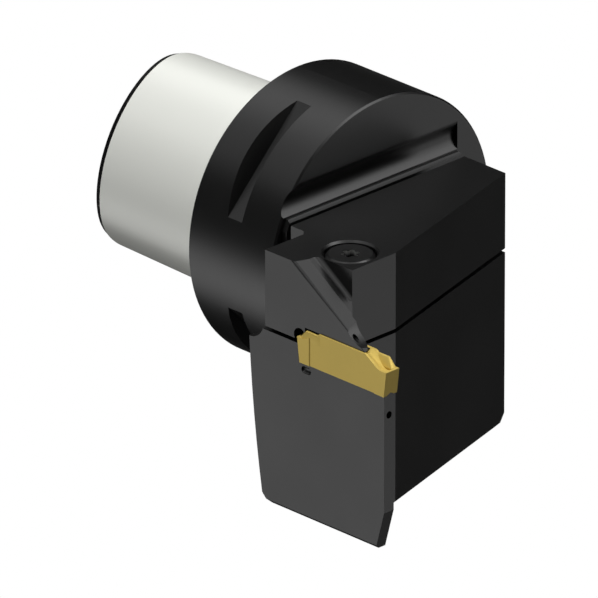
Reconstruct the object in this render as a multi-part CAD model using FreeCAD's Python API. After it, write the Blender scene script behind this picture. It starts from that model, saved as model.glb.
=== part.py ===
"""Parting and grooving tool holder with a polygon taper shank.

Frame, in millimetres: the origin is the centre of the gauge face, where the flange meets the shank.
+X runs along the tool axis towards the cutting end, +Z is up and the cutting edge stands at Z = 0.
The blade with its insert stands out on the -Y side, called the near side below.
"""
import FreeCAD, Part
import math
import os

V = FreeCAD.Vector
X_AXIS, Y_AXIS, Z_AXIS = V(1, 0, 0), V(0, 1, 0), V(0, 0, 1)

# Shank: a three-lobed polygon taper of constant width, one lobe pointing up
SHANK_D = 35.0             # mean diameter at the gauge face
SHANK_L = 30.0
LOBE_E = 1.0               # eccentricity of the polygon curve
TAPER = 1 / 20             # on the diameter
SHANK_LEAD_L = 1.2         # slim lead-in at the small end
SHANK_LEAD_H = 0.45

# Bore of the shank, where the machine's segments and centre bolt hold
SEGMENT_BORE_D = 20.0
SEGMENT_BORE_L = 19.0
SEGMENT_GROOVE_D = 23.0
SEGMENT_GROOVE_W = 5.0
SEGMENT_GROOVE_DEPTH = 11.0   # middle of the clamping groove, from the small end
BOLT_THREAD_D = 16.0       # M16 x 1.5, drawn as a plain bore
BOLT_THREAD_L = 20.0

# Flange
FLANGE_D = 50.0
FLANGE_L = 19.4
FLANGE_CHAMFER = 0.5
FLANGE_FRONT_CHAMFER = 0.3
SLOT_ANGLES = (135, 225, 315)   # chordal gripper slots, from +Y towards +Z
SLOT_X = 8.2               # rear edge of the slot's floor
SLOT_W = 3.2
SLOT_DEPTH = 2.6
SLOT_WALL_SLOPE = 28       # degrees off square, on the wall nearer the shank
FACE_GROOVE_R = 3.2        # long groove in the flange's front face
FACE_GROOVE_DEPTH = 0.9
FACE_GROOVE_Z = 13.05
FACE_GROOVE_END_Y = 17.4
FACE_GROOVE_EDGE_R = 1.6
LIP_L = 1.0                # step ahead of the flange face, below the groove
LIP_NEAR_Y = -22.4
NECK_STEP = 2.0            # how much smaller than the flange the neck's radius is

# Head: the jaw above and the body below share these faces
CHANNEL_W = 4.8            # open channel between the lip and the jaw
CHANNEL_FLOOR_Z = 3.0
CHANNEL_FLOOR_R = 1.5
HEAD_L = 19.3
HEAD_TOP_Z = 12.6
HEAD_BOTTOM_Z = -31.9
HEAD_FAR_Y = 13.2
SIDE_Y = -35.7             # near side: one plane of blade, lower body and jaw
WAIST_Y = 14.0             # from the near side to where the square front turns slanted
FRONT_SLANT = 15.9         # degrees
FOOT_CHAMFER = 0.7
FOOT_FAR_CHAMFER = 2.0
REAR_LEAN = 3.0            # how far the lower body's back edge leans forward at its foot
REAR_FOOT_CUT = 1.6        # small corner cut where the back edge meets the foot

# Slit under the jaw, and the web behind it that bends
SLIT_TOP_Z = -0.7
SLIT_GAP = 0.7
WEB_Z = 1.1                # height of the bending axis, in the middle of the channel
WEB_R = 1.7
WEB_PLAY = 0.03

# Pocket behind the jaw's overhang, on the near side
POCKET_L = 3.75            # from the head's back to the overhang's back
POCKET_DEPTH_Y = 9.5
POCKET_CORNER_R = 1.0
POCKET_FLOOR_R = 3.3
POCKET_FLOOR_Z = -0.3      # axis of the rounded floor

# Blade that carries the insert
BLADE_T = 2.2
BLADE_REACH = 11.5         # ahead of the block's front face
BLADE_FOOT_H = 6.9         # slanted cut at the blade's foot
BLADE_FOOT_L = 1.9
BLADE_ROOT_R = 0.8

# Clamping finger of the jaw: a sloped top whose near strip tilts a little more
FINGER_T = 4.2             # thickness beside the block
FINGER_START = 8.0         # where the slope starts, behind the block's front face
FINGER_SLOPE = 33.7        # degrees
FINGER_BACK = 5.2          # its nose, behind the cutting edge
FINGER_NOSE_H = 0.5        # height of the blunt nose
FINGER_NOSE_T = 0.5        # its thickness at the nose
FINGER_NOSE_L = 2.6        # length over which its far side curves in to the nose
FINGER_NECK_L = 2.1        # length over which it thins ahead of the block
FINGER_SCALLOP_R = 4.0     # hollow that lets the chip pass, in front of the slope
FINGER_LIP_L = 0.3         # flat of the nose ahead of the hollow
FINGER_RIDGE = 2.4         # from the near side to the ridge between the two strips
FINGER_TILT = 0.55         # drop of the near strip at the near side
FINGER_RIDGE_R = 0.5
FINGER_CORNER_R = 0.8      # rounded corner between the slope and the block
FINGER_EDGE_R0 = 0.1       # rounding of the near edge, at the top and at the nose
FINGER_EDGE_R1 = 0.5

# Insert, with a cutting end front and back
INSERT_W = 3.0
INSERT_L = 20.2
INSERT_OVERHANG = 0.8      # cutting edge ahead of the blade
INSERT_TOP_Z = 1.8
INSERT_BOTTOM_Z = -4.4
INSERT_RELIEF = 7          # degrees, under each cutting edge
INSERT_LAND_L = 1.4        # level part behind each cutting edge
INSERT_RISE_L = 3.0        # then a gentle rise up to here
INSERT_RISE_Z = 0.6
INSERT_HEAD_L = 4.9        # and a steeper one up to the insert's top
CHIP_HOLLOW_R = 1.25       # round hollow down the middle of each end, between two side ridges
CHIP_HOLLOW_DEPTH = 0.42
INSERT_WAIST = 0.15        # how much each side steps in behind the cutting ends
INSERT_WAIST_L = 2.7       # where that step stands, behind the cutting edge
SEAT_PLAY = 0.03
ROOM_R = 1.35              # round room in the jaw for the insert's rear end
ROOM_AHEAD = 0.25          # its middle, ahead of the insert's rear end
ROOM_L = 1.4               # where the finger's underside begins, ahead of the same end
RAIL_W = 1.5               # vee rails above and below the insert
RAIL_H = 0.42
KEY_NICK_L = 0.9           # shallow oval nick in the side face, where a key pushes the insert out
KEY_NICK_R = 0.7
KEY_NICK_DEPTH = 0.4
KEY_NICK_AHEAD = 1.7       # its middle, ahead of the insert's rear end
KEY_NICK_DROP = 1.2        # below the seat

# Clamp screw, M6, with a round head in a counterbore
SCREW_BACK = 5.4           # its axis, behind the block's front face
SCREW_IN = 9.1             # and in from the near side
SCREW_D = 6.0
SCREW_HEAD_D = 8.1
SCREW_HEAD_H = 4.2
SCREW_HEAD_CHAMFER = 0.45
SCREW_SUNK = 0.25          # top of the head below the jaw's top
SCREW_REACH = 17.0         # thread below the slit
SCREW_TIP_CHAMFER = 0.8
SCREW_SEAT_PLAY = 0.13
SCREW_HEAD_PLAY = 0.3
SCREW_BODY_PLAY = 0.5
THREAD_PLAY = 0.03
THREAD_SPARE = 2.0         # hole beyond the screw's tip
SOCKET_R = 1.55            # six-lobed socket
SOCKET_LOBE_R = 0.42
SOCKET_DEPTH = 2.2
COUNTERBORE_CHAMFER = 0.35

# Coolant drillings and what closes them; each is slimmer than the one it opens into
MAIN_FEED_D = 4.0          # from the bolt's bore
FEED_D = 3.0               # across the head
RISER_D = 2.4              # down to the blade's nozzle
DRILL_PAST = 1.0           # how far a drilling runs past the axis of the one it meets
FEED_BACK = 6.2            # drillings stand this far ahead of the head's back
FEED_Z = -5.5
JAW_FEED_Z = 6.2
RISER_IN = 3.3             # the blade's riser, in from the near side
BRIDGE_Y = -8.0            # where the coolant crosses the slit
BRIDGE_D = 2.4
RING_CORD = 1.5
RING_CHAMFER = 0.3
BLADE_NOZZLE_D = 1.2
BLADE_NOZZLE_DROP = 8.0    # outlet below the cutting edge
BLADE_NOZZLE_SLOPE = 17    # degrees
JAW_NOZZLE_D = 0.9
JAW_NOZZLE_BACK = 2.8      # outlet in the finger's hollow, behind the nose
JAW_NOZZLE_IN = 0.75       # and in from the near side
PLUG_D = 4.0
PLUG_L = 4.0
PLUG_CHAMFER = 0.4
PLUG_SOCKET_AF = 2.0
PLUG_SOCKET_DEPTH = 2.0
PLUG_SUNK = 0.4

# Places that follow from the sizes above
FLANGE_R = FLANGE_D / 2
LIP_X = FLANGE_L + LIP_L
HEAD_BACK_X = LIP_X + CHANNEL_W
HEAD_FRONT_X = HEAD_BACK_X + HEAD_L
BLADE_FRONT_X = HEAD_FRONT_X + BLADE_REACH
INSERT_FRONT_X = BLADE_FRONT_X + INSERT_OVERHANG
INSERT_REAR_X = INSERT_FRONT_X - INSERT_L
BLADE_FAR_Y = SIDE_Y + BLADE_T
BLADE_Y = SIDE_Y + BLADE_T / 2
BLOCK_WALL_Y = SIDE_Y + FINGER_T
HEAD_WAIST_Y = SIDE_Y + WAIST_Y
FAR_FRONT_X = HEAD_FRONT_X - (HEAD_FAR_Y - HEAD_WAIST_Y) * math.tan(math.radians(FRONT_SLANT))
SLIT_BOTTOM_Z = SLIT_TOP_Z - SLIT_GAP
WEB_X = LIP_X + CHANNEL_W / 2
POCKET_WALL_X = HEAD_BACK_X + POCKET_L
POCKET_FAR_Y = SIDE_Y + POCKET_DEPTH_Y
FINGER_START_X = HEAD_FRONT_X - FINGER_START
FINGER_TIP_X = INSERT_FRONT_X - FINGER_BACK
SEAT_Z = INSERT_BOTTOM_Z - SEAT_PLAY
STOP_X = INSERT_REAR_X - SEAT_PLAY
FINGER_UNDER_Z = INSERT_TOP_Z + SEAT_PLAY
SCREW_X = HEAD_FRONT_X - SCREW_BACK
SCREW_Y = SIDE_Y + SCREW_IN
SCREW_TOP_Z = HEAD_TOP_Z - SCREW_SUNK
FEED_X = HEAD_BACK_X + FEED_BACK
RISER_Y = SIDE_Y + RISER_IN
RING_FLOOR_Z = SLIT_TOP_Z - RING_CORD


def box(x0, x1, y0, y1, z0, z1):
    return Part.makeBox(x1 - x0, y1 - y0, z1 - z0, V(x0, y0, z0))


def rod(radius, start, end):
    """Cylinder from one point to another."""
    way = end - start
    return Part.makeCylinder(radius, way.Length, start, way)


def prism(points, way):
    """Closed outline through points in space, run along way."""
    return Part.Face(Part.makePolygon(points + [points[0]])).extrude(way)


def side_profile(points, y0, y1):
    return prism([V(x, y0, z) for x, z in points], V(0, y1 - y0, 0))


def plan_profile(points, z0, z1):
    return prism([V(x, y, z0) for x, y in points], V(0, 0, z1 - z0))


def end_profile(points, x0, x1):
    return prism([V(x0, y, z) for y, z in points], V(x1 - x0, 0, 0))


def edges_on_line(shape, a, b):
    """Edges of a shape that lie on the straight line through a and b."""
    way = (b - a).normalize()

    def off(p):
        return (p - a).cross(way).Length

    return [e for e in shape.Edges if all(off(v.Point) < 1e-4 for v in e.Vertexes)
            and off(e.valueAt((e.FirstParameter + e.LastParameter) / 2)) < 1e-4]


def polygon_wire(x, diameter):
    """The constant-width three-lobed curve at one place along the shank, a lobe pointing up."""
    r = diameter / 2
    count = 36
    points = []
    for i in range(count):
        t = 2 * math.pi * i / count
        across = r * math.cos(t) - 2 * LOBE_E * math.cos(2 * t) + LOBE_E * math.cos(4 * t)
        along = r * math.sin(t) + 2 * LOBE_E * math.sin(2 * t) + LOBE_E * math.sin(4 * t)
        points.append(V(x, along, -across))
    curve = Part.BSplineCurve()
    curve.interpolate(points, PeriodicFlag=True)
    return Part.Wire(curve.toShape())


def make_shank():
    """Tapered polygon with a slim lead-in at the small end, reaching 1 mm into the flange."""
    lead_x, end_x = SHANK_LEAD_L - SHANK_L, -SHANK_L
    lead_d = SHANK_D + lead_x * TAPER
    taper = Part.makeLoft([polygon_wire(1, SHANK_D + TAPER), polygon_wire(lead_x, lead_d)], True, True)
    lead = Part.makeLoft([polygon_wire(lead_x, lead_d), polygon_wire(end_x, lead_d - 2 * SHANK_LEAD_H)], True, True)
    return taper.fuse(lead)


def face_groove():
    """Cutter of the long round groove in the flange's front face."""
    x = FLANGE_L - FACE_GROOVE_DEPTH + FACE_GROOVE_R
    return rod(FACE_GROOVE_R, V(x, -FLANGE_R - 1, FACE_GROOVE_Z), V(x, FACE_GROOVE_END_Y, FACE_GROOVE_Z))


def make_flange():
    """Round flange with chordal gripper slots and the long groove in its front face."""
    flange = Part.makeCylinder(FLANGE_R, FLANGE_L, V(0, 0, 0), X_AXIS)
    rims = [e for e in flange.Edges if len(e.Vertexes) == 1]
    flange = flange.makeChamfer(FLANGE_CHAMFER, [e for e in rims if e.Vertexes[0].X < 1])
    front = [e for e in flange.Edges if len(e.Vertexes) == 1 and e.Vertexes[0].X > FLANGE_L - 1e-6]
    flange = flange.makeChamfer(FLANGE_FRONT_CHAMFER, front)
    floor = FLANGE_R - SLOT_DEPTH
    rise = SLOT_DEPTH + 1
    lean = rise * math.tan(math.radians(SLOT_WALL_SLOPE))
    slot = side_profile([(SLOT_X, floor), (SLOT_X - lean, floor + rise),
                         (SLOT_X + SLOT_W, floor + rise), (SLOT_X + SLOT_W, floor)], -FLANGE_R, FLANGE_R)
    for angle in SLOT_ANGLES:
        cutter = slot.copy()
        cutter.rotate(V(0, 0, 0), X_AXIS, angle - 90)
        flange = flange.cut(cutter)
    flange = flange.cut(face_groove())
    reach = math.sqrt(FACE_GROOVE_R ** 2 - (FACE_GROOVE_R - FACE_GROOVE_DEPTH) ** 2)
    edge_z = FACE_GROOVE_Z + reach
    upper = edges_on_line(flange, V(FLANGE_L, 0, edge_z), V(FLANGE_L, 1, edge_z))
    return flange.makeFillet(FACE_GROOVE_EDGE_R, upper)


def head_plan():
    """Outline of the head block seen from above: square front near the blade, slanted beyond it."""
    return [(HEAD_BACK_X, BLOCK_WALL_Y), (HEAD_FRONT_X, BLOCK_WALL_Y), (HEAD_FRONT_X, HEAD_WAIST_Y),
            (FAR_FRONT_X, HEAD_FAR_Y), (HEAD_BACK_X, HEAD_FAR_Y)]


def make_lower_block():
    """Block below the slit, chamfered around its foot."""
    block = plan_profile(head_plan(), HEAD_BOTTOM_Z, SLIT_BOTTOM_Z)
    corners = [V(x, y, HEAD_BOTTOM_Z) for x, y in head_plan()]
    block = block.makeChamfer(FOOT_CHAMFER, edges_on_line(block, corners[2], corners[3]))
    far = end_profile([(HEAD_FAR_Y - FOOT_FAR_CHAMFER, HEAD_BOTTOM_Z), (HEAD_FAR_Y, HEAD_BOTTOM_Z + FOOT_FAR_CHAMFER),
                       (HEAD_FAR_Y + 1, HEAD_BOTTOM_Z - 1)], 0, BLADE_FRONT_X)
    return block.cut(far)


def make_blade_slab():
    """Slab on the near side that ends in the thin blade; its back edge is one arc leaning forward."""
    top = V(HEAD_BACK_X, SIDE_Y, SLIT_BOTTOM_Z)
    foot = V(HEAD_BACK_X + REAR_LEAN, SIDE_Y, HEAD_BOTTOM_Z + REAR_FOOT_CUT)
    mid = V(HEAD_BACK_X + REAR_LEAN * 0.36, SIDE_Y, (top.z + foot.z) / 2)
    corners = [foot, V(foot.x + REAR_FOOT_CUT, SIDE_Y, HEAD_BOTTOM_Z),
               V(BLADE_FRONT_X - BLADE_FOOT_L, SIDE_Y, HEAD_BOTTOM_Z),
               V(BLADE_FRONT_X, SIDE_Y, HEAD_BOTTOM_Z + BLADE_FOOT_H), V(BLADE_FRONT_X, SIDE_Y, SLIT_BOTTOM_Z), top]
    outline = [Part.Arc(top, mid, foot).toShape()]
    outline += [Part.LineSegment(a, b).toShape() for a, b in zip(corners, corners[1:])]
    slab = Part.Face(Part.Wire(outline)).extrude(V(0, FINGER_T, 0))
    slab = slab.makeChamfer(FOOT_CHAMFER, edges_on_line(slab, corners[1], corners[2]))
    beside = box(HEAD_FRONT_X, BLADE_FRONT_X + 1, BLADE_FAR_Y, HEAD_WAIST_Y, HEAD_BOTTOM_Z - 1, 1)
    root = edges_on_line(beside, V(HEAD_FRONT_X, BLADE_FAR_Y, 0), V(HEAD_FRONT_X, BLADE_FAR_Y, 1))
    return slab.cut(beside.makeFillet(BLADE_ROOT_R, root))


def channel():
    """Cutter of the channel between flange and jaw, with rounded floor corners."""
    cutter = box(LIP_X, HEAD_BACK_X, -FLANGE_R - 1, HEAD_FAR_Y + 1, CHANNEL_FLOOR_Z, HEAD_TOP_Z + 1)
    floor = [e for x in (LIP_X, HEAD_BACK_X)
             for e in edges_on_line(cutter, V(x, 0, CHANNEL_FLOOR_Z), V(x, 1, CHANNEL_FLOOR_Z))]
    return cutter.makeFillet(CHANNEL_FLOOR_R, floor)


def rail(x0, x1, z, height):
    """Vee rail on the insert's middle plane, standing up from the blade or down from the finger."""
    return end_profile([(BLADE_Y - RAIL_W / 2, z), (BLADE_Y + RAIL_W / 2, z), (BLADE_Y, z + height)], x0, x1)


def make_holder_body():
    """Shank, flange, neck, lower half of the head and blade, all one piece of steel."""
    neck_r = FLANGE_R - NECK_STEP
    neck = Part.makeCylinder(neck_r, HEAD_BACK_X - FLANGE_L + 3, V(FLANGE_L - 1, 0, 0), X_AXIS)
    below_web = neck.common(box(0, HEAD_BACK_X + 2, LIP_NEAR_Y, HEAD_FAR_Y, HEAD_BOTTOM_Z, SLIT_BOTTOM_Z))
    beside_web = neck.common(box(0, WEB_X - WEB_PLAY, LIP_NEAR_Y, HEAD_FAR_Y, HEAD_BOTTOM_Z,
                                 CHANNEL_FLOOR_Z + CHANNEL_FLOOR_R))
    lip_top_z = FACE_GROOVE_Z - FACE_GROOVE_R * 0.8
    lip = Part.makeCylinder(FLANGE_R - 1, LIP_L + 1, V(FLANGE_L - 1, 0, 0), X_AXIS)
    lip = lip.common(box(0, LIP_X, LIP_NEAR_Y, FACE_GROOVE_END_Y, -FLANGE_R, lip_top_z)).cut(face_groove())
    body = make_shank().fuse([make_flange(), lip, below_web, beside_web.cut(channel()), make_lower_block(),
                              make_blade_slab()])

    # Seat of the web's bead, and the rounded floor of the pocket behind the jaw's overhang
    body = body.cut(rod(WEB_R, V(WEB_X, -FLANGE_R, WEB_Z), V(WEB_X, HEAD_FAR_Y + 1, WEB_Z)))
    floor_x = HEAD_BACK_X + POCKET_L - POCKET_FLOOR_R - (POCKET_L - POCKET_FLOOR_R) * 0.8
    body = body.cut(rod(POCKET_FLOOR_R, V(floor_x, SIDE_Y - 1, POCKET_FLOOR_Z), V(floor_x, POCKET_FAR_Y, POCKET_FLOOR_Z)))

    # Seat of the insert: ledge, stop behind it, vee rail, and the nick below it
    seat = box(STOP_X, BLADE_FRONT_X + 1, SIDE_Y - 1, BLADE_Y + INSERT_W / 2 + SEAT_PLAY, SEAT_Z, SLIT_BOTTOM_Z + 1)
    body = body.cut(seat).fuse(rail(STOP_X + 1.5, BLADE_FRONT_X, SEAT_Z, RAIL_H))
    nick = V(INSERT_REAR_X + KEY_NICK_AHEAD, SIDE_Y - KEY_NICK_R + KEY_NICK_DEPTH, SEAT_Z - KEY_NICK_DROP)
    nick_ends = [nick - X_AXIS * (KEY_NICK_L / 2), nick + X_AXIS * (KEY_NICK_L / 2)]
    body = body.cut([rod(KEY_NICK_R, *nick_ends)] + [Part.makeSphere(KEY_NICK_R, end) for end in nick_ends])

    # Bore of the shank and its clamping groove, then the bolt's thread
    groove_x = SEGMENT_GROOVE_DEPTH - SHANK_L
    thread_x = SEGMENT_BORE_L - SHANK_L
    feed_x = thread_x + BOLT_THREAD_L
    for radius, x0, x1 in ((SEGMENT_BORE_D / 2, -SHANK_L - 1, thread_x),
                           (SEGMENT_GROOVE_D / 2, groove_x - SEGMENT_GROOVE_W / 2, groove_x + SEGMENT_GROOVE_W / 2),
                           (BOLT_THREAD_D / 2, -SHANK_L, feed_x)):
        body = body.cut(rod(radius, V(x0, 0, 0), V(x1, 0, 0)))

    # Clamp screw's thread
    body = body.cut(rod(SCREW_D / 2 + THREAD_PLAY, V(SCREW_X, SCREW_Y, SLIT_BOTTOM_Z - SCREW_REACH - THREAD_SPARE),
                        V(SCREW_X, SCREW_Y, 1)))

    # Coolant: feed from the shank, cross drilling, riser for the blade and bridge to the jaw
    past = FEED_D / 2 + DRILL_PAST
    riser_foot = V(FEED_X, RISER_Y, HEAD_BOTTOM_Z)
    for radius, start, end in ((MAIN_FEED_D / 2, V(feed_x - 1, 0, FEED_Z), V(FEED_X + past, 0, FEED_Z)),
                               (FEED_D / 2, V(FEED_X, HEAD_FAR_Y + 1, FEED_Z), V(FEED_X, RISER_Y + past, FEED_Z)),
                               (RISER_D / 2, V(FEED_X, RISER_Y, FEED_Z), riser_foot),
                               (BRIDGE_D / 2, V(FEED_X, BRIDGE_Y, FEED_Z), V(FEED_X, BRIDGE_Y, 0)),
                               (BRIDGE_D / 2 + RING_CORD, V(FEED_X, BRIDGE_Y, RING_FLOOR_Z), V(FEED_X, BRIDGE_Y, 0)),
                               (PLUG_D / 2, V(FEED_X, HEAD_FAR_Y + 1, FEED_Z),
                                V(FEED_X, HEAD_FAR_Y - PLUG_L - PLUG_SUNK, FEED_Z)),
                               (PLUG_D / 2, riser_foot - Z_AXIS, riser_foot + Z_AXIS * (PLUG_L + PLUG_SUNK))):
        body = body.cut(rod(radius, start, end))
    return body.cut(blade_nozzle()).removeSplitter()


def blade_nozzle():
    """Coolant drilling inside the blade, rising from the riser to the front edge under the insert."""
    slope = math.radians(BLADE_NOZZLE_SLOPE)
    way = V(math.cos(slope), 0, math.sin(slope))
    outlet = V(BLADE_FRONT_X, BLADE_Y, -BLADE_NOZZLE_DROP)
    return rod(BLADE_NOZZLE_D / 2, outlet - way * ((BLADE_FRONT_X - FEED_X) / way.x), outlet + way)


def hollow_axis():
    """Middle of the round hollow ahead of the finger's slope, in X and Z."""
    return FINGER_TIP_X - FINGER_LIP_L, FINGER_UNDER_Z + FINGER_NOSE_H + FINGER_SCALLOP_R


def finger_plan():
    """Cutter of the finger's far side ahead of the block: down to the blade's thickness, then in to the nose."""
    nose_y = SIDE_Y + FINGER_NOSE_T
    turn_x = FINGER_TIP_X - FINGER_NOSE_L
    bulge_y = BLADE_FAR_Y - (BLADE_FAR_Y - nose_y) * 0.27
    turn, nose = V(turn_x, BLADE_FAR_Y, 0), V(FINGER_TIP_X, nose_y, 0)
    line = [nose, V(FINGER_TIP_X + 1, nose_y - 1, 0), V(FINGER_TIP_X + 1, BLOCK_WALL_Y + 1, 0),
            V(HEAD_FRONT_X, BLOCK_WALL_Y + 1, 0), V(HEAD_FRONT_X, BLOCK_WALL_Y, 0),
            V(HEAD_FRONT_X + FINGER_NECK_L, BLADE_FAR_Y, 0), turn]
    outline = [Part.Arc(turn, V(turn_x + FINGER_NOSE_L / 2, bulge_y, 0), nose).toShape()]
    outline += [Part.LineSegment(p, q).toShape() for p, q in zip(line, line[1:])]
    cutter = Part.Face(Part.Wire(outline)).extrude(V(0, 0, HEAD_TOP_Z - SLIT_TOP_Z + 2))
    cutter.translate(V(0, 0, SLIT_TOP_Z - 1))
    return cutter


def make_finger():
    """Overhang and clamping finger: sloped top in two strips, then a round hollow down to a thin nose."""
    under_x = INSERT_REAR_X + ROOM_L
    start = V(FINGER_START_X, 0, HEAD_TOP_Z)
    slope = math.radians(FINGER_SLOPE)
    way, out = V(math.cos(slope), 0, -math.sin(slope)), V(math.sin(slope), 0, math.cos(slope))
    tip = start + way * ((FINGER_TIP_X - start.x) / way.x)
    finger = side_profile([(POCKET_WALL_X, SLIT_TOP_Z), (POCKET_WALL_X, HEAD_TOP_Z), (start.x, HEAD_TOP_Z),
                           (tip.x, tip.z), (tip.x, FINGER_UNDER_Z), (under_x, FINGER_UNDER_Z),
                           (under_x, SLIT_TOP_Z)], SIDE_Y, BLOCK_WALL_Y)
    # Near strip: a wedge taken off along the slope, then the ridge and the near edge rounded
    ridge_y = SIDE_Y + FINGER_RIDGE
    far_out = 2 * FINGER_RIDGE
    a = start - way * 10 + V(0, ridge_y, 0)
    wedge = prism([a, a - V(0, far_out, 0) - out * (2 * FINGER_TILT), a - V(0, far_out, 0) + out * 4, a + out * 4],
                  way * 40)
    finger = finger.cut(wedge)
    finger = finger.makeFillet(FINGER_RIDGE_R, edges_on_line(finger, start + V(0, ridge_y, 0), tip + V(0, ridge_y, 0)))
    low = V(0, SIDE_Y, 0) - out * FINGER_TILT
    finger = finger.makeFillet(FINGER_EDGE_R0, FINGER_EDGE_R1, edges_on_line(finger, start + low, tip + low))
    x, z = hollow_axis()
    finger = finger.cut(rod(FINGER_SCALLOP_R, V(x, SIDE_Y - 1, z), V(x, BLOCK_WALL_Y + 1, z)))
    above_lip = box(x, FINGER_TIP_X + 1, SIDE_Y - 1, BLOCK_WALL_Y + 1, z - FINGER_SCALLOP_R, HEAD_TOP_Z)
    return finger.cut(above_lip).cut(finger_plan())


def finger_corner():
    """Rounded inside corner between the finger's slope and the block's wall beside it."""
    slope = math.radians(FINGER_SLOPE)
    way, out = V(math.cos(slope), 0, -math.sin(slope)), V(math.sin(slope), 0, math.cos(slope))
    r = FINGER_CORNER_R
    foot = V(FINGER_START_X, BLOCK_WALL_Y, HEAD_TOP_Z) - way * 4
    square = prism([foot + V(0, 0.2, 0) - out * 0.2, foot + V(0, 0.2, 0) + out * r, foot + V(0, -r, 0) + out * r,
                    foot + V(0, -r, 0) - out * 0.2], way * 20)
    axis = foot + V(0, -r, 0) + out * r
    corner = square.cut(rod(r, axis - way, axis + way * 22))
    return corner.common(box(POCKET_WALL_X + 1, HEAD_FRONT_X, SIDE_Y, BLOCK_WALL_Y + 1, SLIT_TOP_Z, HEAD_TOP_Z))


def make_upper_jaw():
    """Clamping jaw above the slit, with the web's front half behind it and the finger ahead."""
    jaw = plan_profile(head_plan(), SLIT_TOP_Z, HEAD_TOP_Z).fuse([make_finger(), finger_corner()])
    pocket = box(HEAD_BACK_X - 3, POCKET_WALL_X, SIDE_Y - 3, POCKET_FAR_Y, SLIT_TOP_Z - 1, HEAD_TOP_Z + 1)
    corner = edges_on_line(pocket, V(POCKET_WALL_X, POCKET_FAR_Y, 0), V(POCKET_WALL_X, POCKET_FAR_Y, 1))
    jaw = jaw.cut(pocket.makeFillet(POCKET_CORNER_R, corner)).removeSplitter()

    # Round room for the insert's rear cutting end, the way in under the finger, and the upper rail
    far_y = BLADE_Y + INSERT_W / 2 + SEAT_PLAY
    room_x = INSERT_REAR_X + ROOM_AHEAD
    jaw = jaw.cut(rod(ROOM_R, V(room_x, SIDE_Y - 1, 0), V(room_x, far_y, 0)))
    jaw = jaw.cut(box(INSERT_REAR_X + ROOM_L, FINGER_TIP_X + 1, SIDE_Y - 1, far_y, SLIT_TOP_Z - 1, FINGER_UNDER_Z))
    jaw = jaw.fuse(rail(INSERT_REAR_X + INSERT_HEAD_L, FINGER_TIP_X - 0.6, FINGER_UNDER_Z, -RAIL_H))

    # The web: floor of the channel in front of the bending axis, with a bead on that axis
    web = box(WEB_X, HEAD_BACK_X + 1, LIP_NEAR_Y, HEAD_FAR_Y, SLIT_TOP_Z, CHANNEL_FLOOR_Z + CHANNEL_FLOOR_R)
    bead = rod(WEB_R - WEB_PLAY, V(WEB_X, LIP_NEAR_Y, WEB_Z), V(WEB_X, HEAD_FAR_Y, WEB_Z))
    jaw = jaw.fuse([web.cut(channel()), bead])

    # Clamp screw: counterbore with a chamfered mouth and a clearance hole
    centre = V(SCREW_X, SCREW_Y, 0)
    seat_z = SCREW_TOP_Z - SCREW_HEAD_H - SCREW_SEAT_PLAY
    bore_r = SCREW_HEAD_D / 2 + SCREW_HEAD_PLAY
    jaw = jaw.cut(rod(bore_r, centre + Z_AXIS * seat_z, centre + Z_AXIS * (HEAD_TOP_Z + 1)))
    jaw = jaw.cut(Part.makeCone(bore_r, bore_r + COUNTERBORE_CHAMFER, COUNTERBORE_CHAMFER,
                                centre + Z_AXIS * (HEAD_TOP_Z - COUNTERBORE_CHAMFER), Z_AXIS))
    jaw = jaw.cut(rod(SCREW_D / 2 + SCREW_BODY_PLAY, centre + Z_AXIS * (SLIT_TOP_Z - 1), centre + Z_AXIS * HEAD_TOP_Z))

    # Coolant: riser from the slit, cross drilling and the nozzle in the finger
    near_end = V(FEED_X, BLADE_Y, JAW_FEED_Z)
    nozzle_x = FINGER_TIP_X - JAW_NOZZLE_BACK
    hollow_x, hollow_z = hollow_axis()
    outlet = V(nozzle_x, SIDE_Y + JAW_NOZZLE_IN,
               hollow_z - math.sqrt(FINGER_SCALLOP_R ** 2 - (hollow_x - nozzle_x) ** 2))
    way = (outlet - near_end).normalize()
    for radius, start, end in ((BRIDGE_D / 2, V(FEED_X, BRIDGE_Y, SLIT_TOP_Z - 1), V(FEED_X, BRIDGE_Y, JAW_FEED_Z)),
                               (FEED_D / 2, V(FEED_X, HEAD_FAR_Y + 1, JAW_FEED_Z), near_end),
                               (JAW_NOZZLE_D / 2, near_end, outlet + way),
                               (PLUG_D / 2, V(FEED_X, HEAD_FAR_Y + 1, JAW_FEED_Z),
                                V(FEED_X, HEAD_FAR_Y - PLUG_L - PLUG_SUNK, JAW_FEED_Z))):
        jaw = jaw.cut(rod(radius, start, end))
    return jaw.removeSplitter()


def chip_hollow(end_x, inward):
    """Cutter of the round hollow in one end's top; inward is +1 or -1 along X, away from the cutting edge."""
    rise = INSERT_TOP_Z / (INSERT_HEAD_L - INSERT_LAND_L)
    lift = CHIP_HOLLOW_R - CHIP_HOLLOW_DEPTH
    low = V(end_x + inward * INSERT_LAND_L, BLADE_Y, lift)
    high = low + V(inward * INSERT_HEAD_L, 0, rise * INSERT_HEAD_L)
    return [Part.makeSphere(CHIP_HOLLOW_R, low), rod(CHIP_HOLLOW_R, low, high)]


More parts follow.
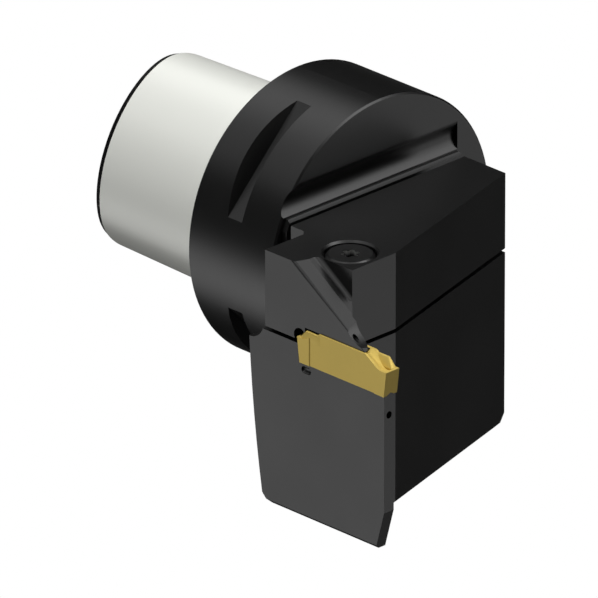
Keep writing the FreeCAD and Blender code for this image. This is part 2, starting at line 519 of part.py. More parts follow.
def make_insert():
    """Two-ended carbide insert with vee grooves above and below."""
    x0, x1 = INSERT_REAR_X, INSERT_FRONT_X
    relief = -INSERT_BOTTOM_Z * math.tan(math.radians(INSERT_RELIEF))
    top = [(0, 0), (INSERT_LAND_L, 0), (INSERT_RISE_L, INSERT_RISE_Z), (INSERT_HEAD_L, INSERT_TOP_Z)]
    outline = [(x0 + relief, INSERT_BOTTOM_Z), (x1 - relief, INSERT_BOTTOM_Z)]
    outline += [(x1 - along, z) for along, z in top] + [(x0 + along, z) for along, z in reversed(top)]
    half = INSERT_W / 2
    insert = side_profile(outline, BLADE_Y - half, BLADE_Y + half)
    insert = insert.cut(chip_hollow(x0, 1) + chip_hollow(x1, -1))
    # The sides step in behind the cutting ends
    waist_x0, waist_x1 = x0 + INSERT_WAIST_L, x1 - INSERT_WAIST_L
    for side in (-1, 1):
        edge, depth = BLADE_Y + side * half, side * INSERT_WAIST
        flank = [(waist_x0, edge + side), (waist_x0, edge), (waist_x0 + INSERT_WAIST, edge - depth),
                 (waist_x1 - INSERT_WAIST, edge - depth), (waist_x1, edge), (waist_x1, edge + side)]
        insert = insert.cut(plan_profile(flank, INSERT_BOTTOM_Z - 1, INSERT_TOP_Z + 1))
    # Vee grooves that ride on the rails, a running clearance larger all round
    w = RAIL_W / 2 + SEAT_PLAY * 2
    depth = RAIL_H + SEAT_PLAY
    for z, way in ((INSERT_BOTTOM_Z, 1), (INSERT_TOP_Z, -1)):
        groove = [(BLADE_Y - w, z), (BLADE_Y, z + way * depth), (BLADE_Y + w, z),
                  (BLADE_Y + w, z - way), (BLADE_Y - w, z - way)]
        insert = insert.cut(end_profile(groove, x0 - 1, x1 + 1 if way > 0 else x1 - INSERT_HEAD_L))
    return insert.removeSplitter()


def six_lobe_socket(x, y, top_z):
    """Six-lobed recess for the key."""
    floor, mouth = top_z - SOCKET_DEPTH, top_z + 1
    reach = SOCKET_R - SOCKET_LOBE_R
    socket = rod(reach, V(x, y, floor), V(x, y, mouth))
    for i in range(6):
        a = math.radians(60 * i)
        lobe = V(x + reach * math.cos(a), y + reach * math.sin(a), 0)
        socket = socket.fuse(rod(SOCKET_LOBE_R, lobe + Z_AXIS * floor, lobe + Z_AXIS * mouth))
    return socket


def make_clamp_screw():
    """M6 screw with a round head and a six-lobed socket, its thread drawn plain."""
    top_z = SCREW_TOP_Z
    seat_z = top_z - SCREW_HEAD_H
    r, head_r = SCREW_D / 2, SCREW_HEAD_D / 2
    tip_z = SLIT_BOTTOM_Z - SCREW_REACH
    half = [(0, tip_z), (r - SCREW_TIP_CHAMFER, tip_z), (r, tip_z + SCREW_TIP_CHAMFER), (r, seat_z), (head_r, seat_z),
            (head_r, top_z - SCREW_HEAD_CHAMFER), (head_r - SCREW_HEAD_CHAMFER, top_z), (0, top_z), (0, tip_z)]
    screw = Part.Face(Part.makePolygon([V(x, 0, z) for x, z in half])).revolve(V(0, 0, 0), Z_AXIS, 360)
    screw.translate(V(SCREW_X, SCREW_Y, 0))
    return screw.cut(six_lobe_socket(SCREW_X, SCREW_Y, top_z))


def make_plug(mouth, inward):
    """Hexagon-socket set screw that closes a drilling, sunk a little below the face at its mouth."""
    start = mouth + inward * PLUG_SUNK
    plug = rod(PLUG_D / 2, start, start + inward * PLUG_L)
    plug = plug.makeChamfer(PLUG_CHAMFER, [e for e in plug.Edges if len(e.Vertexes) == 1])
    corner = PLUG_SOCKET_AF / 2 / math.cos(math.radians(30))
    side = X_AXIS
    other = inward.cross(side)
    hexagon = [start - inward + side * (corner * math.cos(math.radians(60 * i)))
               + other * (corner * math.sin(math.radians(60 * i))) for i in range(6)]
    return plug.cut(prism(hexagon, inward * (PLUG_SOCKET_DEPTH + 1)))


def make_bridge_ring():
    """Rubber ring that seals the coolant where it crosses the slit, pressed flat by the jaw."""
    low, high = V(FEED_X, BRIDGE_Y, RING_FLOOR_Z), V(FEED_X, BRIDGE_Y, SLIT_TOP_Z)
    ring = rod(BRIDGE_D / 2 + RING_CORD, low, high)
    ring = ring.makeChamfer(RING_CHAMFER, [e for e in ring.Edges if len(e.Vertexes) == 1])
    return ring.cut(rod(BRIDGE_D / 2, low - Z_AXIS, high + Z_AXIS))


nodes = {
    "holder_body": make_holder_body(),
    "upper_jaw": make_upper_jaw(),
    "grooving_insert": make_insert(),
    "clamp_screw": make_clamp_screw(),
    "bridge_seal_ring": make_bridge_ring(),
    "body_drilling_plug": make_plug(V(FEED_X, HEAD_FAR_Y, FEED_Z), V(0, -1, 0)),
    "riser_drilling_plug": make_plug(V(FEED_X, RISER_Y, HEAD_BOTTOM_Z), Z_AXIS),
    "jaw_drilling_plug": make_plug(V(FEED_X, HEAD_FAR_Y, JAW_FEED_Z), V(0, -1, 0)),
}

os.makedirs("parts", exist_ok=True)
for name, shape in nodes.items():
    shape.exportStep("parts/" + name + ".step")
    print(name, "solids", len(shape.Solids), "valid", shape.isValid(), "volume", round(shape.Volume, 1))
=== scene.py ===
# %% [markdown]
# # Parting and grooving tool holder: its looks
#
# The tool's shapes come from the CAD frame, which is exact. This file gives them their finishes, adds
# the small pieces that only the eye needs, and sets up the camera and the light.
#
# The object is about 87 mm long. Blender works in metres here, so a length that is known in
# millimetres is written as a number times MM.

# %% Load the frame
import math

import bpy
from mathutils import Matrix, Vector


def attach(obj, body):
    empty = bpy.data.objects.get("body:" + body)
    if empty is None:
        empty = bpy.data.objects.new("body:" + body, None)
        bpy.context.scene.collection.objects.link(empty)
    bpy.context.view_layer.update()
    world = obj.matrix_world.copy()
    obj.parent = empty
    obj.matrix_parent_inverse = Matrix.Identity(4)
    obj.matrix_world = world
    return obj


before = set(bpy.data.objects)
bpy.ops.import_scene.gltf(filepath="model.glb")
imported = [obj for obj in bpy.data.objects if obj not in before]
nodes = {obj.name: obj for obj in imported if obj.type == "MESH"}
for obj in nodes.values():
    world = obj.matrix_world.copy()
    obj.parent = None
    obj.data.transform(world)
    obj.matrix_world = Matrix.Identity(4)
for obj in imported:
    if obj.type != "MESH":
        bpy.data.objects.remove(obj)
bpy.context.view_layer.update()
MM = 0.001
print("CAD nodes:", sorted(nodes))

# %% [markdown]
# ## Camera
#
# The photograph has no vanishing points: parallel edges stay parallel. A camera far away with a very
# long lens gives that look, and it still works as a normal camera in the other views. The direction
# and the scale were found by fitting the flange's two round rims.

# %% Camera
AZIMUTH, ELEVATION = math.radians(45.39), math.radians(24.23)
LOOK_AT = Vector((4.66, -4.13, -13.81)) * MM
VIEW_WIDTH = 97.16 * MM      # what the picture shows from side to side
CAMERA_DISTANCE = 3.0
NEAR_CLIP, FAR_CLIP = 0.1, 20
SENSOR = 36.0                # in mm, as the focal length is

toward_camera = Vector((math.sin(AZIMUTH) * math.cos(ELEVATION), -math.cos(AZIMUTH) * math.cos(ELEVATION),
                        math.sin(ELEVATION)))
lens = bpy.data.cameras.new("long_lens")
lens.sensor_width = SENSOR
lens.lens = SENSOR * CAMERA_DISTANCE / VIEW_WIDTH
lens.clip_start, lens.clip_end = NEAR_CLIP, FAR_CLIP
camera = bpy.data.objects.new("camera", lens)
bpy.context.scene.collection.objects.link(camera)
camera.location = LOOK_AT + toward_camera * CAMERA_DISTANCE
camera.rotation_mode = "QUATERNION"
camera.rotation_quaternion = (-toward_camera).to_track_quat("-Z", "Y")
bpy.context.scene.camera = camera
bpy.context.scene.view_settings.view_transform = "Standard"
print("focal length in mm:", round(lens.lens))

# %% [markdown]
# ## Working with nodes
#
# The world and the materials are graphs of nodes. A few short functions make a node, set its inputs
# and link it to others, so that the steps below read as sentences.

# %% Node helpers
def fill_in(node, values):
    """Sets a node's inputs by name; an underscore stands for a space."""
    for name, value in values.items():
        node.inputs[name.replace("_", " ")].default_value = value


def value_node(tree, kind, **inputs):
    """A new node with its named inputs set."""
    node = tree.nodes.new(kind)
    fill_in(node, inputs)
    return node


def join(tree, *pairs):
    """Links output to input, pair by pair."""
    for source, target in pairs:
        tree.links.new(source, target)


def give(tree, slot, value):
    """Gives an input a plain value, or links it where the value is another node's output."""
    if isinstance(value, bpy.types.NodeSocket):
        tree.links.new(value, slot)
    else:
        slot.default_value = value


def maths(tree, operation, a, b=None):
    """A maths node; a and b are outputs of other nodes, or numbers."""
    node = tree.nodes.new("ShaderNodeMath")
    node.operation = operation
    give(tree, node.inputs[0], a)
    if b is not None:
        give(tree, node.inputs[1], b)
    return node.outputs[0]


def spread(tree, source, low, high, start=0.0, end=1.0):
    """Maps start..end to low..high, and stops there."""
    node = value_node(tree, "ShaderNodeMapRange", From_Min=start, From_Max=end, To_Min=low, To_Max=high)
    join(tree, (source, node.inputs["Value"]))
    return node.outputs["Result"]


def mixed(tree, kind, mask, first, second):
    """Goes from first to second with the mask; kind is FLOAT for a number and RGBA for a colour."""
    node = tree.nodes.new("ShaderNodeMix")
    node.data_type = kind
    for slot, value in (("A", first), ("B", second), ("Factor", mask)):
        give(tree, node.inputs[slot], value)
    return node.outputs["Result"]


def place_xyz(tree):
    """Where a point lies, in metres, as three outputs."""
    place = tree.nodes.new("ShaderNodeTexCoord")
    split = tree.nodes.new("ShaderNodeSeparateXYZ")
    join(tree, (place.outputs["Object"], split.inputs[0]))
    return split.outputs


def distance_from_axis(tree, first, second):
    """Distance from a straight axis; first and second are measured square to it."""
    squares = [maths(tree, "POWER", part, 2.0) for part in (first, second)]
    return maths(tree, "SQRT", maths(tree, "ADD", *squares))


print("node helpers are ready")

# %% [markdown]
# ## White background and soft boxes
#
# The background is plain white to the camera, and it adds only a little light to matt surfaces. A dark
# glossy tool shows its shape by what it mirrors. If it mirrored that white, it would look washed out
# and its faces could not be told apart. So mirrored rays see something else: a dark room with soft
# boxes, which are round bright patches with soft rims. Where they stand was worked out backwards. A
# face of known direction mirrors the camera's line of sight to one place, and its tone in the
# photograph says how bright that place has to be.

# %% World
AMBIENT = 0.06             # what the surroundings add to matt surfaces
DIM_ROOM = 0.01            # what mirrors show between the soft boxes
SOFT_BOX_RIM, SOFT_BOX_CORE = math.radians(22), math.radians(9)
SOFT_BOXES = [             # direction from the tool, and brightness
    # Above, towards the cutting end: the finger's slope and the groove's lower edge
    ((0.64, 0.50, 0.58), 2.8), ((0.55, 0.36, 0.75), 2.1),
    ((0.47, 0.07, 0.88), 1.0), ((0.19, 0.43, 0.88), 1.3),
    # Level and below, towards the cutting end: square front faces and the groove's upper edge
    ((0.76, 0.64, 0.14), 2.1), ((0.75, 0.51, -0.41), 1.1),
    # Below, towards the far side: the blade's foot and the slanted face, both nearly black
    ((0.31, 0.63, -0.71), 0.15), ((-0.21, 0.89, -0.41), 0.05),
    # Below, behind the blade: its broad side
    ((-0.54, -0.62, -0.56), 1.45), ((-0.70, -0.52, -0.50), 0.5),
    # Above, on the near side: rounded edges between the top and the broad side
    ((0.09, -0.70, 0.70), 1.3), ((-0.13, -0.97, 0.20), 1.0),
    ((0.20, -0.33, 0.92), 1.0), ((-0.17, -0.50, 0.84), 0.8),
    # Below, on the far side: mirrored only at a slant by the flange, and in views from behind
    ((-0.64, 0.64, -0.42), 0.05),
    # Above, behind the flange and beside it: the bands along it
    ((-0.73, 0.22, 0.65), 0.85), ((-0.64, 0.10, 0.76), 0.8),
    ((-0.60, -0.43, 0.67), 0.75), ((0.05, 0.64, 0.77), 0.5),
]


def soft_boxes(tree, looking):
    """Brightness of the soft boxes in the direction looking."""
    total = DIM_ROOM
    for direction, brightness in SOFT_BOXES:
        facing = tree.nodes.new("ShaderNodeVectorMath")
        facing.operation = "DOT_PRODUCT"
        facing.inputs[1].default_value = Vector(direction).normalized()
        patch = value_node(tree, "ShaderNodeMapRange", From_Min=math.cos(SOFT_BOX_RIM),
                           From_Max=math.cos(SOFT_BOX_CORE), To_Max=brightness)
        patch.interpolation_type = "SMOOTHSTEP"
        join(tree, (looking, facing.inputs[0]), (facing.outputs["Value"], patch.inputs["Value"]))
        total = maths(tree, "ADD", patch.outputs["Result"], total)
    return total


world = bpy.data.worlds.new("studio")
bpy.context.scene.world = world
world.use_nodes = True
tree = world.node_tree
tree.nodes.clear()
ray = tree.nodes.new("ShaderNodeLightPath")
looking = tree.nodes.new("ShaderNodeTexCoord").outputs["Generated"]
seen = maths(tree, "MAXIMUM", ray.outputs["Is Camera Ray"], ray.outputs["Is Transmission Ray"])
mirrored = maths(tree, "MULTIPLY", ray.outputs["Is Glossy Ray"], soft_boxes(tree, looking))
matt = maths(tree, "MULTIPLY", ray.outputs["Is Diffuse Ray"], AMBIENT)
white = value_node(tree, "ShaderNodeBackground", Color=(1, 1, 1, 1))
world_out = tree.nodes.new("ShaderNodeOutputWorld")
join(tree, (maths(tree, "ADD", maths(tree, "ADD", seen, mirrored), matt), white.inputs["Strength"]),
     (white.outputs[0], world_out.inputs["Surface"]))
print("soft boxes:", len(SOFT_BOXES))

# %% [markdown]
# ## Floor
#
# The tool hangs in plain white in the photograph, with no floor in sight. A floor that is white to the
# camera, far below the tool, keeps its shadow out of the picture and is still there in the other
# views. Mirrors don't show it, so that it doesn't hide the soft boxes below the tool. It is seen
# through from its underside, so a camera below it can look up at the tool.

# %% Floor
FLOOR_Z, FLOOR_SIZE = -0.7, 30
FLOOR_GREY = 0.10          # how much light the floor throws back on the tool


def switch(tree, mask, off, on):
    """One of two shaders: off where the mask is 0, on where it is 1."""
    node = tree.nodes.new("ShaderNodeMixShader")
    join(tree, (mask, node.inputs["Fac"]), (off, node.inputs[1]), (on, node.inputs[2]))
    return node.outputs[0]


bpy.ops.object.select_all(action="DESELECT")
bpy.ops.mesh.primitive_plane_add(size=FLOOR_SIZE, location=(0, 0, FLOOR_Z))
floor = bpy.context.object
floor.name = "studio_floor"
pale = bpy.data.materials.new("pale floor")
pale.use_nodes = True
tree = pale.node_tree
tree.nodes.clear()
ray = tree.nodes.new("ShaderNodeLightPath")
side = tree.nodes.new("ShaderNodeNewGeometry")
plain = value_node(tree, "ShaderNodeBsdfDiffuse", Color=(FLOOR_GREY, FLOOR_GREY, FLOOR_GREY, 1))
glow = value_node(tree, "ShaderNodeEmission", Color=(1, 1, 1, 1), Strength=1.0)
see_through = tree.nodes.new("ShaderNodeBsdfTransparent")
from_above = switch(tree, ray.outputs["Is Camera Ray"], plain.outputs[0], glow.outputs[0])
one_sided = switch(tree, side.outputs["Backfacing"], from_above, see_through.outputs[0])
floor_out = tree.nodes.new("ShaderNodeOutputMaterial")
join(tree, (one_sided, floor_out.inputs["Surface"]))
floor.data.materials.append(pale)
floor.visible_glossy = False
print("floor at z", FLOOR_Z, "m,", FLOOR_SIZE, "m across")

# %% [markdown]
# ## Lamps
#
# Two lamps light the matt surfaces: a strong one high above, which gives the bright shank and the gold
# insert their tops, and a weak one low on the blade's side, which lifts their near sides. Mirrors
# don't show the lamps: what is mirrored is left to the soft boxes.

# %% Lamps
LAMP_SIZE, LAMP_DISTANCE = 0.35, 0.9


def lamp(name, direction, level):
    """Square area lamp; level 1 shows a surface that faces it in its own colour."""
    light = bpy.data.lights.new(name, "AREA")
    light.size = LAMP_SIZE
    light.energy = level * (math.pi * LAMP_DISTANCE) ** 2
    obj = bpy.data.objects.new(name, light)
    bpy.context.scene.collection.objects.link(obj)
    way = Vector(direction).normalized()
    obj.location = LOOK_AT + way * LAMP_DISTANCE
    obj.rotation_mode = "QUATERNION"
    obj.rotation_quaternion = (-way).to_track_quat("-Z", "Y")
    obj.visible_camera = obj.visible_glossy = False
    print(name, "power in watts:", round(light.energy, 1))


lamp("top_lamp", (0.04, -0.15, 0.98), level=1.08)
lamp("side_lamp", (0.05, -0.85, -0.50), level=0.24)

# %% [markdown]
# ## Tool lines and grain
#
# Every finish is a Principled shader fed by small groups of nodes. The groups give masks and heights
# that change over the surface; what is the same all over is set on the shader itself. Two groups serve
# all the finishes: lines left by a cutter or a grinding wheel, and grain with slow clouds.

# %% Node groups
def new_group(name, inputs, outputs):
    """An empty node group whose inputs and outputs are numbers."""
    group = bpy.data.node_groups.new(name, "ShaderNodeTree")
    for socket, default in inputs:
        made = group.interface.new_socket(name=socket, in_out="INPUT", socket_type="NodeSocketFloat")
        made.default_value = default
    for socket in outputs:
        group.interface.new_socket(name=socket, in_out="OUTPUT", socket_type="NodeSocketFloat")
    return group, group.nodes.new("NodeGroupInput"), group.nodes.new("NodeGroupOutput")


def tool_lines_group():
    """Fine parallel lines left by a cutter or a grinding wheel, as a height from 0 to 1.

    Noise stretched along one axis gives lines of uneven depth. "Across" is how many lines there are
    to the metre, "Along" how often one line changes along its length.
    """
    group, given, result = new_group("tool lines", [("Across", 9000.0), ("Along", 250.0)], ["Height"])
    place = place_xyz(group)
    stretched = group.nodes.new("ShaderNodeCombineXYZ")
    for axis, scale in (("X", "Across"), ("Y", "Along"), ("Z", "Along")):
        join(group, (maths(group, "MULTIPLY", place[axis], given.outputs[scale]), stretched.inputs[axis]))
    noise = value_node(group, "ShaderNodeTexNoise", Scale=1.0, Detail=2.0, Roughness=0.6)
    join(group, (stretched.outputs[0], noise.inputs["Vector"]),
         (noise.outputs["Fac"], result.inputs["Height"]))
    return group


def grain_group():
    """Even fine grain and slow cloudy mottling, both from 0 to 1."""
    group, given, result = new_group("grain", [("Fine Scale", 6000.0), ("Cloud Scale", 120.0)],
                                     ["Fine", "Cloud"])
    place = group.nodes.new("ShaderNodeTexCoord")
    for scale, detail, out in (("Fine Scale", 1.0, "Fine"), ("Cloud Scale", 4.0, "Cloud")):
        noise = value_node(group, "ShaderNodeTexNoise", Detail=detail, Roughness=0.55)
        join(group, (place.outputs["Object"], noise.inputs["Vector"]),
             (given.outputs[scale], noise.inputs["Scale"]), (noise.outputs["Fac"], result.inputs[out]))
    return group


TOOL_LINES, GRAIN = tool_lines_group(), grain_group()
print("node groups:", TOOL_LINES.name, "and", GRAIN.name)

# %% [markdown]
# ## Making a finish
#
# A finish is put together from the groups, and then takes the place of the plain material that a CAD
# node came with. Most finishes here are of one kind: slow clouds change the colour and the gloss a
# little, and fine grain gives the relief.

# %% Finish helpers
def placed(tree, group, **values):
    """The group as a node in this material, with its own values."""
    node = tree.nodes.new("ShaderNodeGroup")
    node.node_tree = group
    fill_in(node, values)
    return node


def new_finish(name, **plain):
    """A Principled material; the plain values are the same all over the surface."""
    material = bpy.data.materials.new(name)
    material.use_nodes = True
    shader = material.node_tree.nodes["Principled BSDF"]
    fill_in(shader, plain)
    return material, material.node_tree, shader


def relief(tree, height, shader, depth):
    """Lets a height from 0 to 1 catch the light as if it were this deep."""
    node = value_node(tree, "ShaderNodeBump", Distance=depth, Strength=1.0)
    join(tree, (height, node.inputs["Height"]), (node.outputs["Normal"], shader.inputs["Normal"]))


def grained_finish(name, colours, roughness, fine_scale, cloud_scale, depth, **plain):
    """Slow clouds in the colour and the gloss, and fine grain in the relief.

    The scales are grains and clouds to the metre. The colours and roughness are each a pair, and the
    surface wanders between the two.
    """
    material, tree, shader = new_finish(name, **plain)
    grain = placed(tree, GRAIN, Fine_Scale=fine_scale, Cloud_Scale=cloud_scale)
    colour = mixed(tree, "RGBA", grain.outputs["Cloud"], *colours)
    join(tree, (colour, shader.inputs["Base Color"]),
         (spread(tree, grain.outputs["Cloud"], *roughness), shader.inputs["Roughness"]))
    relief(tree, grain.outputs["Fine"], shader, depth)
    return material, tree, shader, colour


def dress(node, material):
    """Gives a CAD node its finish in place of the plain one it came with."""
    mesh = nodes[node].data
    mesh.materials.clear()
    mesh.materials.append(material)
    print(node, "wears", material.name)


print("CAD nodes to dress:", len(nodes))

# %% [markdown]
# ## Black oxide steel
#
# The whole holder is machined from one bar and blackened, then the shank and the face that meets the
# machine are ground bright. Both finishes are on one piece of steel, so one material tells them apart
# by place: ground steel is behind the flange's rear face and outside the bore, up to the lead-in at
# the shank's end. The flange's round side has its gloss from turning lines. The jaw is all black.

# %% Holder finish
OXIDE_COLOURS = (0.0022, 0.0022, 0.0022, 1), (0.0042, 0.0042, 0.0042, 1)
OXIDE_ROUGH, TURNED_ROUGH, GROUND_ROUGH = (0.32, 0.38), (0.32, 0.38), (0.30, 0.42)
OXIDE_DEPTH = 0.004 * MM
GROUND_STEEL, GROUND_METALLIC = (0.80, 0.81, 0.76, 1), 0.15
SHANK_LENGTH, LEAD_IN = 30.0 * MM, 1.2 * MM
BORE_CLEAR_R = 13.5 * MM
FLANGE_LENGTH, FLANGE_INNER_R = 19.4 * MM, 24.2 * MM         # the radius lies just under its round side
REAR_FACE_MARGIN, FRONT_FACE_MARGIN = 0.02 * MM, 0.05 * MM   # keep a boundary off the face it follows


def holder_finish(name, with_shank):
    """Black oxide with fine tool lines; with_shank adds the ground shank and the turned flange."""
    material, tree, shader = new_finish(name)
    grain = placed(tree, GRAIN, Fine_Scale=5200.0, Cloud_Scale=90.0)
    lines = placed(tree, TOOL_LINES, Across=5200.0, Along=180.0)
    colour = mixed(tree, "RGBA", grain.outputs["Cloud"], *OXIDE_COLOURS)
    rough = spread(tree, grain.outputs["Cloud"], *OXIDE_ROUGH)
    height = mixed(tree, "FLOAT", 0.5, grain.outputs["Fine"], lines.outputs["Height"])
    relief(tree, height, shader, OXIDE_DEPTH)
    if with_shank:
        x, y, z = place_xyz(tree)
        radius = distance_from_axis(tree, y, z)
        behind = maths(tree, "LESS_THAN", x, REAR_FACE_MARGIN)
        before_lead = maths(tree, "GREATER_THAN", x, LEAD_IN - SHANK_LENGTH)
        outside = maths(tree, "GREATER_THAN", radius, BORE_CLEAR_R)
        ground = maths(tree, "MULTIPLY", maths(tree, "MULTIPLY", behind, before_lead), outside)
        on_flange = maths(tree, "MULTIPLY", maths(tree, "LESS_THAN", x, FLANGE_LENGTH - FRONT_FACE_MARGIN),
                          maths(tree, "GREATER_THAN", radius, FLANGE_INNER_R))
        turned = spread(tree, lines.outputs["Height"], *TURNED_ROUGH)
        rough = mixed(tree, "FLOAT", on_flange, rough, turned)
        rough = mixed(tree, "FLOAT", ground, rough, spread(tree, lines.outputs["Height"], *GROUND_ROUGH))
        colour = mixed(tree, "RGBA", ground, colour, GROUND_STEEL)
        join(tree, (maths(tree, "MULTIPLY", ground, GROUND_METALLIC), shader.inputs["Metallic"]))
    join(tree, (colour, shader.inputs["Base Color"]), (rough, shader.inputs["Roughness"]))
    return material


dress("holder_body", holder_finish("black oxide and ground steel", True))
OXIDE_FINISH = holder_finish("black oxide steel", False)
dress("upper_jaw", OXIDE_FINISH)

# %% [markdown]
# ## Gold coated carbide
#
# The insert is pressed and sintered carbide with a thin gold-coloured coating. The coating is metal,
# a little satin, and the sintered skin below gives it a fine even grain.

# %% Insert finish
COAT_COLOURS = (0.64, 0.47, 0.115, 1), (0.72, 0.54, 0.145, 1)
COAT_METALLIC, COAT_SPECULAR = 0.3, 0.1     # low, because the photograph shows it nearly matt

COATING, *_ = grained_finish("gold coating", COAT_COLOURS, roughness=(0.36, 0.50), fine_scale=9000.0,
                             cloud_scale=300.0, depth=0.003 * MM, Metallic=COAT_METALLIC,
                             Specular_IOR_Level=COAT_SPECULAR)
dress("grooving_insert", COATING)

# %% [markdown]
# ## Chip walls of the insert
#
# Each end of the insert has one raised side wall that curls the chip, and the two ends are turned half
# round against each other, so one wall shows at the far side in front and one at the near side behind.
# A wall starts as a block. One bisect slopes it down to the cutting edge, a second slopes its inner
# side into the chip hollow, and a bevel softens it. The other end's wall is the same, turned half round.

# %% Chip walls
INSERT_FRONT_X, INSERT_REAR_X, INSERT_Y = 56.8 * MM, 36.6 * MM, -34.6 * MM
WALL_OUT = 1.36 * MM                            # outer face, from the insert's middle plane
WALL_THICK, WALL_TOP_THICK = 1.1 * MM, 0.35 * MM
WALL_FOOT_Z, WALL_TOP_Z = -0.3 * MM, 1.5 * MM   # the jaw's underside is at 1.83 mm
WALL_START, WALL_CREST, WALL_END = 0.5 * MM, 1.9 * MM, 5.2 * MM      # distances from the cutting edge
WALL_BEVEL, BEVEL_SEGMENTS = 0.16 * MM, 3
ROUNDED_ANGLE = math.radians(50)                # edges flatter than this are shaded as round
CUT_THRESHOLD = 0.0001 * MM     # bisect takes anything nearer than this as lying on its plane


def cut_off(point, outward):
    """Cuts the mesh along a plane through the point, drops its outward side and closes the cut."""
    bpy.ops.mesh.select_all(action="SELECT")
    bpy.ops.mesh.bisect(plane_co=point, plane_no=outward.normalized(), use_fill=True, clear_outer=True,
                        threshold=CUT_THRESHOLD)


def chip_wall(name):
    """Wall at the far side of the front end."""
    size = (WALL_END - WALL_START, WALL_THICK, WALL_TOP_Z - WALL_FOOT_Z)
    middle = (INSERT_FRONT_X - (WALL_START + WALL_END) / 2, INSERT_Y + WALL_OUT - WALL_THICK / 2,
              (WALL_TOP_Z + WALL_FOOT_Z) / 2)
    bpy.ops.object.select_all(action="DESELECT")
    bpy.ops.mesh.primitive_cube_add(size=1, location=middle)
    wall = bpy.context.object
    wall.name = name
    wall.scale = size
    bpy.ops.object.transform_apply(location=True, rotation=True, scale=True)
    bpy.ops.object.mode_set(mode="EDIT")
    cut_off((INSERT_FRONT_X - WALL_CREST, 0, WALL_TOP_Z), Vector((WALL_TOP_Z, 0, WALL_CREST - WALL_START)))
    cut_off((0, INSERT_Y + WALL_OUT - WALL_TOP_THICK, WALL_TOP_Z),
            Vector((0, -WALL_TOP_Z, WALL_THICK - WALL_TOP_THICK)))
    bpy.ops.object.mode_set(mode="OBJECT")
    edge = wall.modifiers.new("soft edges", "BEVEL")
    edge.width, edge.segments = WALL_BEVEL, BEVEL_SEGMENTS
    bpy.ops.object.modifier_apply(modifier=edge.name)
    bpy.ops.object.shade_smooth_by_angle(angle=ROUNDED_ANGLE)
    return wall


def insert_chip_walls():
    """Both walls as one piece that moves with the insert."""
    walls = chip_wall("insert_chip_walls")
    chip_wall("rear_wall")
    bpy.ops.object.mode_set(mode="EDIT")
    bpy.ops.mesh.select_all(action="SELECT")
    bpy.ops.transform.rotate(value=math.pi, orient_axis="Z",
                             center_override=((INSERT_FRONT_X + INSERT_REAR_X) / 2, INSERT_Y, 0))
    bpy.ops.object.mode_set(mode="OBJECT")
    walls.select_set(True)
    bpy.context.view_layer.objects.active = walls
    bpy.ops.object.join()
    walls.data.materials.append(COATING)
    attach(walls, "insert")
    low = [round(min(v.co[i] for v in walls.data.vertices) / MM, 2) for i in range(3)]
    high = [round(max(v.co[i] for v in walls.data.vertices) / MM, 2) for i in range(3)]
    print("chip walls: faces", len(walls.data.polygons), "from", low, "to", high)


insert_chip_walls()

# %% [markdown]
# ## Screw and plugs
#
# The screw and the plugs are bought parts with a thin black finish, smoother than the holder's. The
# socket's walls get lighter steel near their mouth: a painted highlight in place of their reflections.

# %% Screw and plug finishes
SCREW_COLOURS = (0.004, 0.004, 0.004, 1), (0.007, 0.007, 0.007, 1)
# Painted highlight: lighter, more metallic steel on the socket walls in place of their reflections.
SOCKET_HIGHLIGHT_STEEL, SOCKET_HIGHLIGHT_METALLIC = (0.45, 0.45, 0.44, 1), 0.5
SCREW_X, SCREW_Y = 39.1 * MM, -26.6 * MM
SOCKET_R, SOCKET_TOP_Z = 1.7 * MM, 12.3 * MM
HIGHLIGHT_TOP, HIGHLIGHT_END = 0.2 * MM, 0.9 * MM    # below the mouth: full painted highlight to the first, none past the second


def screw_finish(name, with_socket):
    """Thin black finish, with the painted highlight in the clamp screw's socket or without it."""
    material, tree, shader, colour = grained_finish(name, SCREW_COLOURS, roughness=(0.25, 0.38),
                                                    fine_scale=8000.0, cloud_scale=500.0, depth=0.002 * MM)
    if with_socket:
        x, y, z = place_xyz(tree)
        from_axis = distance_from_axis(tree, maths(tree, "SUBTRACT", x, SCREW_X),
                                       maths(tree, "SUBTRACT", y, SCREW_Y))
        in_socket = maths(tree, "MULTIPLY", maths(tree, "LESS_THAN", from_axis, SOCKET_R),
                          maths(tree, "LESS_THAN", z, SOCKET_TOP_Z))
        near_mouth = spread(tree, z, 0.0, 1.0, SOCKET_TOP_Z - HIGHLIGHT_END, SOCKET_TOP_Z - HIGHLIGHT_TOP)
        # painted highlight inside the socket, strongest at its mouth
        painted_highlight = maths(tree, "MULTIPLY", in_socket, near_mouth)
        join(tree, (mixed(tree, "RGBA", painted_highlight, colour, SOCKET_HIGHLIGHT_STEEL), shader.inputs["Base Color"]),
             (maths(tree, "MULTIPLY", painted_highlight, SOCKET_HIGHLIGHT_METALLIC), shader.inputs["Metallic"]))
    return material


dress("clamp_screw", screw_finish("black screw steel", True))
PLUG_FINISH = screw_finish("black plug steel", False)
for plug in ("body_drilling_plug", "riser_drilling_plug", "jaw_drilling_plug"):
    dress(plug, PLUG_FINISH)

# %% [markdown]
# ## Seal ring
#
# The seal ring is plain matt rubber. It lies inside the slit, where the coolant crosses to the jaw.

# %% Seal finish
RUBBER_COLOURS = (0.012, 0.012, 0.012, 1), (0.02, 0.02, 0.02, 1)
RUBBER_SPECULAR = 0.3

RUBBER, *_ = grained_finish("seal rubber", RUBBER_COLOURS, roughness=(0.6, 0.75), fine_scale=7000.0,
                            cloud_scale=400.0, depth=0.004 * MM, Specular_IOR_Level=RUBBER_SPECULAR)
dress("bridge_seal_ring", RUBBER)

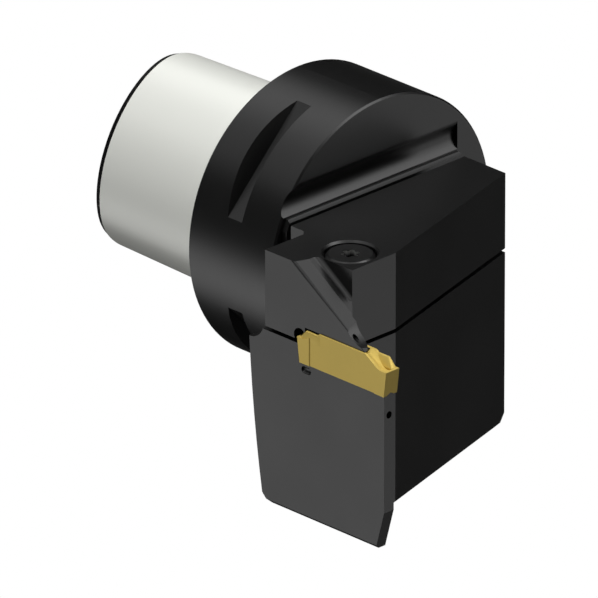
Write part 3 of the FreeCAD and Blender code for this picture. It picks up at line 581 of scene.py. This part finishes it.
# %% [markdown]
# ## Thread in the shank's bore
#
# The machine's centre bolt pulls on this M16 thread. The CAD has a plain hole there, because threads
# are kept out of it, but from behind one looks straight down the bore. A thread is one triangle swept
# along a helix, which the Screw modifier does: each turn moves it on by the pitch. Its two ends are
# then closed, and its faces are turned to point outwards.

# %% Bore thread
PITCH, THREAD_R, CREST_R = 1.5 * MM, 8.0 * MM, 7.15 * MM
THREAD_START_X, TURNS, STEPS_PER_TURN = -9.6 * MM, 11, 48
ROOT_COVER = 0.06 * MM     # the thread's foot stands this far inside the steel
FOOT_SHARE = 0.98          # how much of the pitch the thread's foot takes up


def bore_thread():
    """The thread, from a triangle that has its foot in the steel and its crest towards the axis."""
    depth = THREAD_R + ROOT_COVER - CREST_R
    middle = THREAD_R + ROOT_COVER - depth / 3
    bpy.ops.object.select_all(action="DESELECT")
    bpy.ops.mesh.primitive_circle_add(vertices=3, radius=1, location=(THREAD_START_X, 0, middle),
                                      rotation=(math.radians(-90), 0, 0))
    thread = bpy.context.object
    thread.name = "bore_thread"
    # A three-cornered circle of radius 1 is the root of 3 wide and 1.5 high.
    thread.scale = (PITCH * FOOT_SHARE / math.sqrt(3), depth / 1.5, 1)
    bpy.ops.object.transform_apply(location=True, rotation=True, scale=True)
    sweep = thread.modifiers.new("helix", "SCREW")
    sweep.axis = "X"
    sweep.angle = 2 * math.pi
    sweep.screw_offset = PITCH
    sweep.iterations = TURNS
    sweep.steps = sweep.render_steps = STEPS_PER_TURN
    bpy.ops.object.modifier_apply(modifier=sweep.name)
    bpy.ops.object.mode_set(mode="EDIT")
    bpy.ops.mesh.select_all(action="SELECT")
    bpy.ops.mesh.fill_holes(sides=3)
    bpy.ops.mesh.select_all(action="SELECT")
    bpy.ops.mesh.normals_make_consistent(inside=False)
    bpy.ops.object.mode_set(mode="OBJECT")
    thread.data.materials.append(OXIDE_FINISH)
    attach(thread, "holder")
    crest = min(math.hypot(v.co.y, v.co.z) for v in thread.data.vertices)
    print("bore thread: crest radius in mm", round(crest / MM, 2), "faces", len(thread.data.polygons))


bore_thread()
